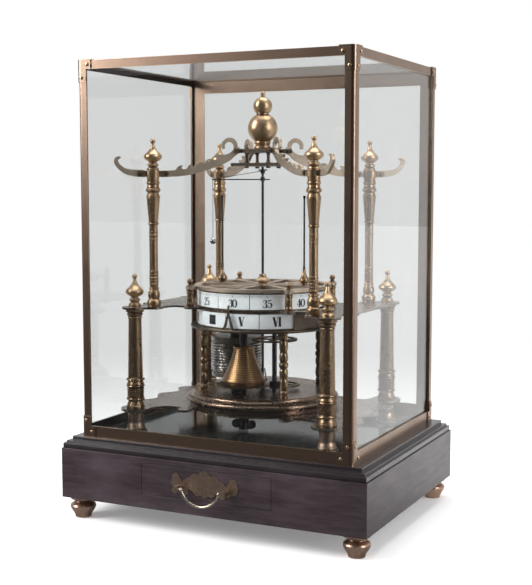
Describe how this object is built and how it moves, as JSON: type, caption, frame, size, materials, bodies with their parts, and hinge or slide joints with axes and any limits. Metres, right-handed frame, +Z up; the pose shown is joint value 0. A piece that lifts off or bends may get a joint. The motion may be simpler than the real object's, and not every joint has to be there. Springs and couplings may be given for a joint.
{
  "type": "flying ball clock",
  "caption": "Open-frame table clock in a glass case on a drawer base: rotating number rings read at a fixed pointer, timed by a ball on a thread that wraps posts.",
  "frame": {"origin": "centre of the bounding box, at the underside of the four base feet", "axes": "+Z up, -Y towards the drawer and the pointer, +X to the right seen from the drawer side"},
  "size_m": [0.404, 0.329, 0.5642],
  "materials": {
    "dark_wood": "near-black purple-brown hardwood, gloss lacquer",
    "drawer_wood": "plain oiled hardwood inside the base",
    "antique_brass": "lacquered antique brass, satin, slightly purple-brown",
    "polished_brass": "turned and polished brass",
    "golden_brass": "golden brass with fine turned lines",
    "dark_bronze": "dark bronze with worn edges",
    "light_brass_wire": "pale brass wire, satin",
    "steel": "bright machined steel",
    "spring_steel": "dark tempered spring steel",
    "steel_line": "grey steel line, satin",
    "white_enamel": "fired white enamel with dark painted numbers",
    "floor_panel": "dark gloss painted panel",
    "pane_glass": "clear float glass",
    "thread": "fine twisted silk thread"
  },
  "bodies": {
    "base": {"base_cabinet": "dark_wood", "base_moulding": "dark_wood", "base_feet": "antique_brass", "drawer_runners": "drawer_wood", "case_floor": "floor_panel", "spool_feet": "dark_bronze", "lower_plate": "dark_bronze", "main_columns": "polished_brass", "upper_plate": "dark_bronze", "slender_columns": "polished_brass", "onion_finials": "polished_brass", "arm_collars": "polished_brass", "scroll_brackets": "dark_bronze", "outer_hooks": "dark_bronze", "frame_bolts": "polished_brass", "canopy_low_plate": "dark_bronze", "canopy_pillars": "polished_brass", "canopy_top_plate": "dark_bronze", "crown_finial": "polished_brass", "movement_bed": "antique_brass", "beaded_pillars": "polished_brass", "ring_plate": "dark_bronze", "pointer": "dark_bronze", "hour_shroud": "dark_bronze", "spoked_bridge": "antique_brass", "bridge_posts": "polished_brass", "centre_boss": "polished_brass", "wrap_posts": "polished_brass", "barrel_arbor": "steel", "fusee_line": "steel_line"},
    "drawer": {"drawer_box": "drawer_wood", "drawer_front": "dark_wood", "pull_plate": "antique_brass"},
    "bail": {"pull_bail": "light_brass_wire"},
    "cover": {"case_posts": "antique_brass", "case_rails": "antique_brass", "corner_brackets": "antique_brass", "case_screws": "polished_brass", "glass_walls": "pane_glass", "glass_top": "pane_glass"},
    "fusee": {"fusee_cone": "golden_brass", "great_wheel": "golden_brass", "fusee_arbor": "steel", "winding_key": "steel"},
    "barrel": {"barrel_drum": "golden_brass", "mainspring": "spring_steel", "wound_line": "steel_line"},
    "second_arbor": {"second_arbor": "steel", "upper_ring_wheel": "golden_brass"},
    "third_arbor": {"third_arbor": "steel", "lower_ring_wheel": "golden_brass"},
    "fly": {"fly_rod": "steel", "fly_arm": "steel"},
    "minute_ring": {"minute_ring": "dark_bronze", "minute_enamels": "white_enamel"},
    "motion_wheel": {"motion_wheel": "golden_brass"},
    "hour_ring": {"hour_ring": "dark_bronze", "hour_enamels": "white_enamel"},
    "thread": {"fly_thread": "thread", "steel_ball": "steel"}
  },
  "joints": [
    {"name": "drawer_slide", "type": "slide", "parent": "base", "child": "drawer", "axis": [0, -1, 0], "range_m": [0, 0.15]},
    {"name": "bail_hinge", "type": "hinge", "parent": "drawer", "child": "bail", "pos_m": [0, -0.1605, 0.0592], "axis": [-1, 0, 0], "range_deg": [0, 100]},
    {"name": "cover_lift", "type": "slide", "parent": "base", "child": "cover", "axis": [0, 0, 1], "range_m": [0, 0.48]},
    {"name": "fusee_spin", "type": "hinge", "parent": "base", "child": "fusee", "pos_m": [-0.008, -0.03, 0.1642], "axis": [0, 0, 1], "continuous": true},
    {"name": "barrel_spin", "type": "hinge", "parent": "base", "child": "barrel", "pos_m": [-0.044, 0.022, 0.1672], "axis": [0, 0, 1], "continuous": true},
    {"name": "second_arbor_spin", "type": "hinge", "parent": "base", "child": "second_arbor", "pos_m": [0.02995, -0.02019, 0.2217], "axis": [0, 0, 1], "continuous": true},
    {"name": "third_arbor_spin", "type": "hinge", "parent": "base", "child": "third_arbor", "pos_m": [0.02527, 0.01309, 0.1597], "axis": [0, 0, 1], "continuous": true},
    {"name": "fly_spin", "type": "hinge", "parent": "base", "child": "fly", "pos_m": [0, 0.008, 0.1597], "axis": [0, 0, 1], "continuous": true},
    {"name": "minute_ring_spin", "type": "hinge", "parent": "base", "child": "minute_ring", "pos_m": [0, 0.008, 0.2632], "axis": [0, 0, 1], "continuous": true},
    {"name": "motion_wheel_spin", "type": "hinge", "parent": "base", "child": "motion_wheel", "pos_m": [-0.02494, 0.0224, 0.2401], "axis": [0, 0, 1], "continuous": true},
    {"name": "hour_ring_spin", "type": "hinge", "parent": "base", "child": "hour_ring", "pos_m": [0, 0.008, 0.2398], "axis": [0, 0, 1], "continuous": true},
    {"name": "thread_swing", "type": "hinge", "parent": "fly", "child": "thread", "pos_m": [-0.05672, -0.01942, 0.4206], "axis": [-0.4352, 0.9003, 0], "range_deg": [0, 45]}
  ],
  "couplings": [
    {"joint": "barrel_spin", "follows": "fusee_spin", "ratio": 0.585},
    {"joint": "second_arbor_spin", "follows": "fusee_spin", "ratio": -6},
    {"joint": "third_arbor_spin", "follows": "fusee_spin", "ratio": 30},
    {"joint": "fly_spin", "follows": "fusee_spin", "ratio": -160},
    {"joint": "minute_ring_spin", "follows": "fusee_spin", "ratio": 5.25},
    {"joint": "motion_wheel_spin", "follows": "fusee_spin", "ratio": -1.75},
    {"joint": "hour_ring_spin", "follows": "fusee_spin", "ratio": 0.4375}
  ]
}
